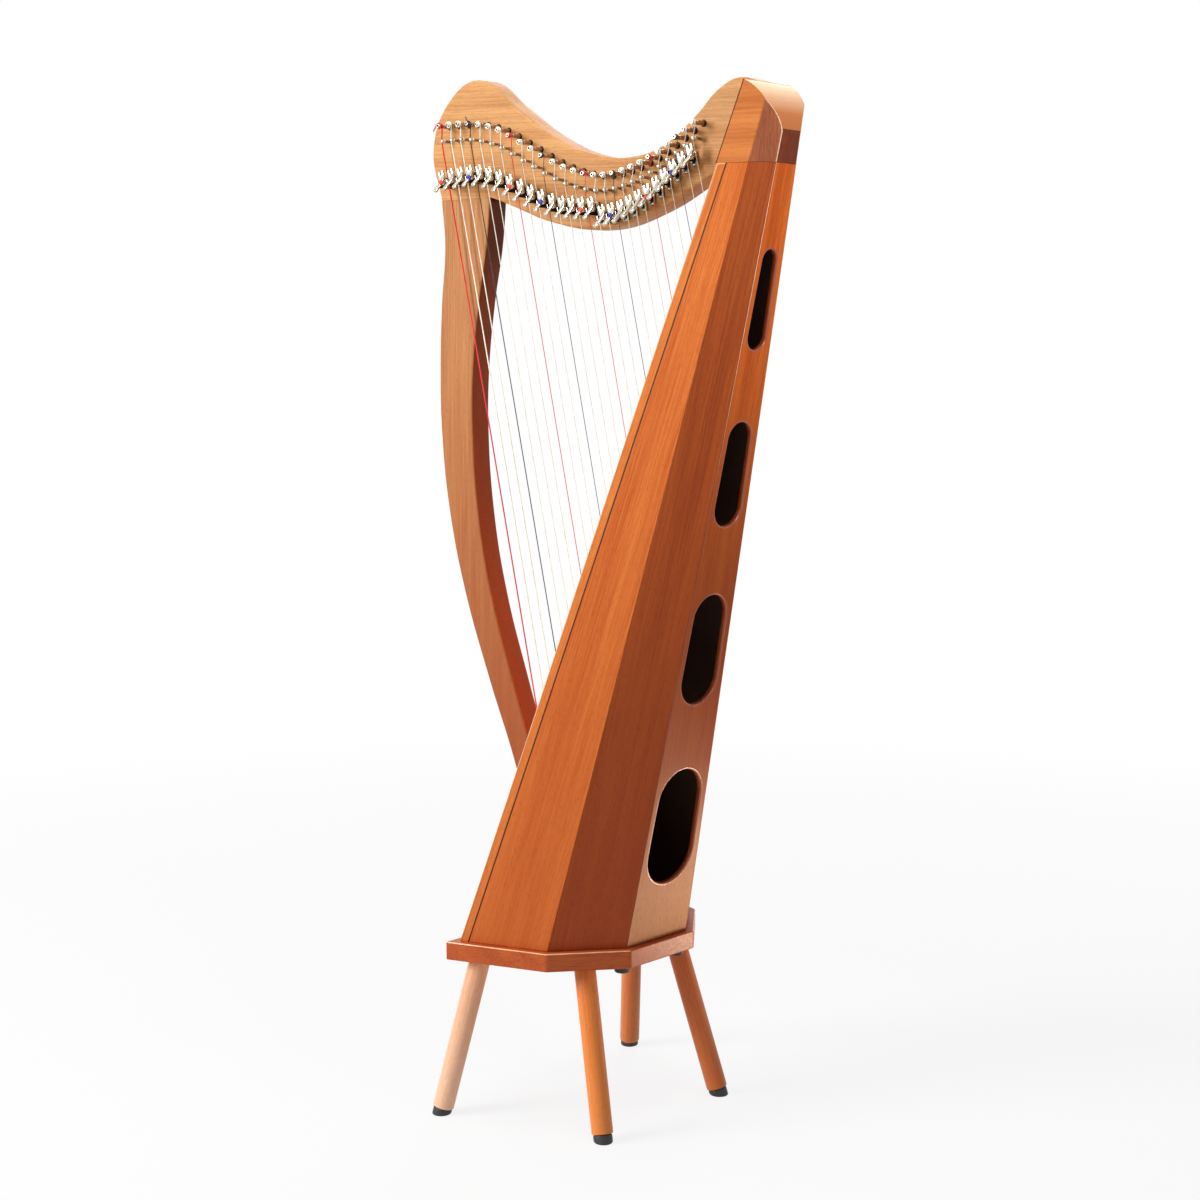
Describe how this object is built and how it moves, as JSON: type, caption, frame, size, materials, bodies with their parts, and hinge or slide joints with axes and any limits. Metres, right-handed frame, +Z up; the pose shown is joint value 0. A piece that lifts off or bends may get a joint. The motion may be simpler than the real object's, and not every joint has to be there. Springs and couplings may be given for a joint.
{
  "type": "lever harp",
  "caption": "Lever harp on splayed legs with a curved neck and pillar, a tapered sound box with oval holes, and sharping levers that turn.",
  "frame": {"origin": "on the floor, under the middle of the overall box", "axes": "+Z up, +X towards the player, so the pillar is at -X and the sound box at +X; the levers and tuning pins face -Y"},
  "size_m": [0.528, 0.3464, 1.1892],
  "materials": {
    "side_panel_wood": "satin lacquer on straight-grained red-brown wood",
    "rear_panel_wood": "satin lacquer on straight-grained red-brown wood",
    "back_panel_wood": "satin lacquer on straight-grained red-brown wood",
    "edge_strip_wood": "satin lacquer, rounded along the front",
    "soundboard_wood": "satin lacquer on thin board",
    "string_rib_wood": "satin lacquer",
    "neck_wood": "satin lacquer on light brown wood with long grain",
    "pillar_wood": "satin lacquer on light brown wood with upright grain",
    "shoulder_wood": "satin lacquer with the grain lying level",
    "base_wood": "satin lacquer, edges rounded",
    "leg_wood": "satin lacquer on turned wood",
    "inner_wood": "bare sanded wood",
    "dowel_wood": "bare wood",
    "foot_rubber": "matt",
    "lever_nickel": "polished",
    "bolt_steel": "plain",
    "string_nylon": "smooth nylon, with red and dark strings in each octave"
  },
  "bodies": {
    "frame": {"back_panel": "back_panel_wood", "base_plate": "base_wood", "left_edge_strip": "edge_strip_wood", "left_front_base_foot": "foot_rubber", "left_front_leg": "leg_wood", "left_front_leg_tip": "foot_rubber", "left_rear_base_foot": "foot_rubber", "left_rear_leg": "leg_wood", "left_rear_leg_tip": "foot_rubber", "left_rear_panel": "rear_panel_wood", "left_side_panel": "side_panel_wood", "lower_brace": "inner_wood", "middle_brace": "inner_wood", "neck": "neck_wood", "outer_string_rib": "string_rib_wood", "pillar": "pillar_wood", "pillar_block": "inner_wood", "pillar_bolt": "bolt_steel", "pillar_dowel": "dowel_wood", "right_edge_strip": "edge_strip_wood", "right_front_base_foot": "foot_rubber", "right_front_leg": "leg_wood", "right_front_leg_tip": "foot_rubber", "right_rear_base_foot": "foot_rubber", "right_rear_leg": "leg_wood", "right_rear_leg_tip": "foot_rubber", "right_rear_panel": "rear_panel_wood", "right_side_panel": "side_panel_wood", "shoulder_block": "shoulder_wood", "shoulder_dowel": "dowel_wood", "soundboard": "soundboard_wood", "string_set": "string_nylon", "upper_brace": "inner_wood"},
    "lever_01": {"lever_01": "lever_nickel"},
    "lever_02": {"lever_02": "lever_nickel"},
    "lever_03": {"lever_03": "lever_nickel"},
    "lever_04": {"lever_04": "lever_nickel"},
    "lever_05": {"lever_05": "lever_nickel"},
    "lever_06": {"lever_06": "lever_nickel"},
    "lever_07": {"lever_07": "lever_nickel"},
    "lever_08": {"lever_08": "lever_nickel"},
    "lever_09": {"lever_09": "lever_nickel"},
    "lever_10": {"lever_10": "lever_nickel"},
    "lever_11": {"lever_11": "lever_nickel"},
    "lever_12": {"lever_12": "lever_nickel"},
    "lever_13": {"lever_13": "lever_nickel"},
    "lever_14": {"lever_14": "lever_nickel"},
    "lever_15": {"lever_15": "lever_nickel"},
    "lever_16": {"lever_16": "lever_nickel"},
    "lever_17": {"lever_17": "lever_nickel"},
    "lever_18": {"lever_18": "lever_nickel"},
    "lever_19": {"lever_19": "lever_nickel"},
    "lever_20": {"lever_20": "lever_nickel"},
    "lever_21": {"lever_21": "lever_nickel"},
    "lever_22": {"lever_22": "lever_nickel"},
    "lever_23": {"lever_23": "lever_nickel"},
    "lever_24": {"lever_24": "lever_nickel"},
    "lever_25": {"lever_25": "lever_nickel"},
    "lever_26": {"lever_26": "lever_nickel"},
    "lever_27": {"lever_27": "lever_nickel"}
  },
  "joints": [
    {"name": "lever_01_turn", "type": "hinge", "parent": "frame", "child": "lever_01", "pos_m": [-0.2273, -0.03288, 1.0728], "axis": [0.9809, 0, 0.1945], "range_deg": [-90, 0]},
    {"name": "lever_02_turn", "type": "hinge", "parent": "frame", "child": "lever_02", "pos_m": [-0.21147, -0.03286, 1.07419], "axis": [0.9812, 0, 0.1932], "range_deg": [-90, 0]},
    {"name": "lever_03_turn", "type": "hinge", "parent": "frame", "child": "lever_03", "pos_m": [-0.19554, -0.03285, 1.075], "axis": [0.9814, 0, 0.1918], "range_deg": [-90, 0]},
    {"name": "lever_04_turn", "type": "hinge", "parent": "frame", "child": "lever_04", "pos_m": [-0.17969, -0.03287, 1.07588], "axis": [0.9817, 0, 0.1902], "range_deg": [-90, 0]},
    {"name": "lever_05_turn", "type": "hinge", "parent": "frame", "child": "lever_05", "pos_m": [-0.16365, -0.0329, 1.0755], "axis": [0.9821, 0, 0.1886], "range_deg": [-90, 0]},
    {"name": "lever_06_turn", "type": "hinge", "parent": "frame", "child": "lever_06", "pos_m": [-0.14714, -0.03287, 1.07221], "axis": [0.9824, 0, 0.1868], "range_deg": [-90, 0]},
    {"name": "lever_07_turn", "type": "hinge", "parent": "frame", "child": "lever_07", "pos_m": [-0.13046, -0.03284, 1.0674], "axis": [0.9828, 0, 0.1849], "range_deg": [-90, 0]},
    {"name": "lever_08_turn", "type": "hinge", "parent": "frame", "child": "lever_08", "pos_m": [-0.11367, -0.03284, 1.06132], "axis": [0.9831, 0, 0.1829], "range_deg": [-90, 0]},
    {"name": "lever_09_turn", "type": "hinge", "parent": "frame", "child": "lever_09", "pos_m": [-0.09695, -0.03283, 1.0547], "axis": [0.9835, 0, 0.1809], "range_deg": [-90, 0]},
    {"name": "lever_10_turn", "type": "hinge", "parent": "frame", "child": "lever_10", "pos_m": [-0.08016, -0.03277, 1.04739], "axis": [0.9839, 0, 0.1786], "range_deg": [-90, 0]},
    {"name": "lever_11_turn", "type": "hinge", "parent": "frame", "child": "lever_11", "pos_m": [-0.06361, -0.03278, 1.04137], "axis": [0.9844, 0, 0.1759], "range_deg": [-90, 0]},
    {"name": "lever_12_turn", "type": "hinge", "parent": "frame", "child": "lever_12", "pos_m": [-0.04732, -0.03278, 1.03604], "axis": [0.9849, 0, 0.173], "range_deg": [-90, 0]},
    {"name": "lever_13_turn", "type": "hinge", "parent": "frame", "child": "lever_13", "pos_m": [-0.03156, -0.03279, 1.0322], "axis": [0.9854, 0, 0.17], "range_deg": [-90, 0]},
    {"name": "lever_14_turn", "type": "hinge", "parent": "frame", "child": "lever_14", "pos_m": [-0.01659, -0.03288, 1.03117], "axis": [0.9859, 0, 0.1673], "range_deg": [-90, 0]},
    {"name": "lever_15_turn", "type": "hinge", "parent": "frame", "child": "lever_15", "pos_m": [-0.00173, -0.03288, 1.02944], "axis": [0.9864, 0, 0.1646], "range_deg": [-90, 0]},
    {"name": "lever_16_turn", "type": "hinge", "parent": "frame", "child": "lever_16", "pos_m": [0.01267, -0.03288, 1.02909], "axis": [0.9868, 0, 0.1618], "range_deg": [-90, 0]},
    {"name": "lever_17_turn", "type": "hinge", "parent": "frame", "child": "lever_17", "pos_m": [0.02835, -0.03211, 1.0196], "axis": [0.9873, 0, 0.1591], "range_deg": [-90, 0]},
    {"name": "lever_18_turn", "type": "hinge", "parent": "frame", "child": "lever_18", "pos_m": [0.04206, -0.03195, 1.02092], "axis": [0.9877, 0, 0.1563], "range_deg": [-90, 0]},
    {"name": "lever_19_turn", "type": "hinge", "parent": "frame", "child": "lever_19", "pos_m": [0.05544, -0.03177, 1.02335], "axis": [0.9882, 0, 0.1534], "range_deg": [-90, 0]},
    {"name": "lever_20_turn", "type": "hinge", "parent": "frame", "child": "lever_20", "pos_m": [0.06837, -0.03167, 1.02774], "axis": [0.9886, 0, 0.1503], "range_deg": [-90, 0]},
    {"name": "lever_21_turn", "type": "hinge", "parent": "frame", "child": "lever_21", "pos_m": [0.08108, -0.03156, 1.03285], "axis": [0.9892, 0, 0.1468], "range_deg": [-90, 0]},
    {"name": "lever_22_turn", "type": "hinge", "parent": "frame", "child": "lever_22", "pos_m": [0.09362, -0.03143, 1.0385], "axis": [0.9898, 0, 0.1428], "range_deg": [-90, 0]},
    {"name": "lever_23_turn", "type": "hinge", "parent": "frame", "child": "lever_23", "pos_m": [0.10586, -0.03135, 1.04538], "axis": [0.9904, 0, 0.1382], "range_deg": [-90, 0]},
    {"name": "lever_24_turn", "type": "hinge", "parent": "frame", "child": "lever_24", "pos_m": [0.11782, -0.03126, 1.0532], "axis": [0.9911, 0, 0.1331], "range_deg": [-90, 0]},
    {"name": "lever_25_turn", "type": "hinge", "parent": "frame", "child": "lever_25", "pos_m": [0.12963, -0.03117, 1.06154], "axis": [0.9919, 0, 0.1271], "range_deg": [-90, 0]},
    {"name": "lever_26_turn", "type": "hinge", "parent": "frame", "child": "lever_26", "pos_m": [0.1415, -0.03087, 1.06895], "axis": [0.9928, 0, 0.1194], "range_deg": [-90, 0]},
    {"name": "lever_27_turn", "type": "hinge", "parent": "frame", "child": "lever_27", "pos_m": [0.15341, -0.03049, 1.0761], "axis": [0.9941, 0, 0.1086], "range_deg": [-90, 0]}
  ]
}
